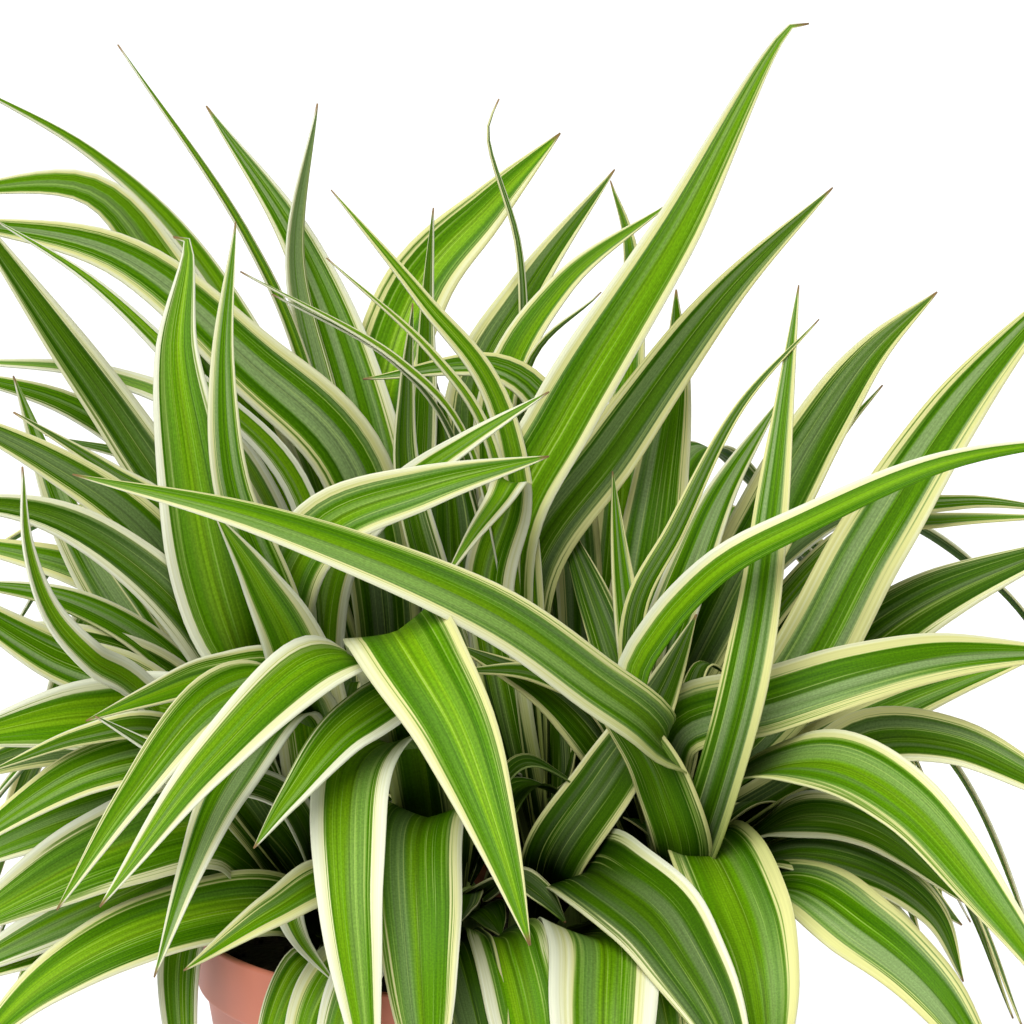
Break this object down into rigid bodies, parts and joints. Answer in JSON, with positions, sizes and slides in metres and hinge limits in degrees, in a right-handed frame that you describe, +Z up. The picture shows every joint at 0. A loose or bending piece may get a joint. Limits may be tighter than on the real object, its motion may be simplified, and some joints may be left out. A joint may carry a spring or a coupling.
{
  "type": "potted spider plant",
  "caption": "Variegated spider plant: arching, cream-edged strap leaves in close rosettes, growing in a tapered plastic nursery pot with a banded rim.",
  "frame": {"origin": "middle of the pot's flat foot, at the surface it stands on", "axes": "+Z up along the pot's axis; -Y towards the front of the plant, as pictured; +X to its right"},
  "size_m": [0.2875, 0.2643, 0.3107],
  "materials": {
    "pot_plastic": "moulded, matte terracotta colour",
    "soil": "moist dark peat compost, crumbly",
    "leaf": "waxy leaf, green in the middle with cream margins"
  },
  "bodies": {
    "root": {"pot": "pot_plastic", "potting_soil": "soil", "rosette_left": "leaf", "rosette_front": "leaf", "rosette_centre": "leaf", "rosette_right": "leaf", "rosette_back_left": "leaf", "rosette_back_right": "leaf"}
  },
  "joints": []
}
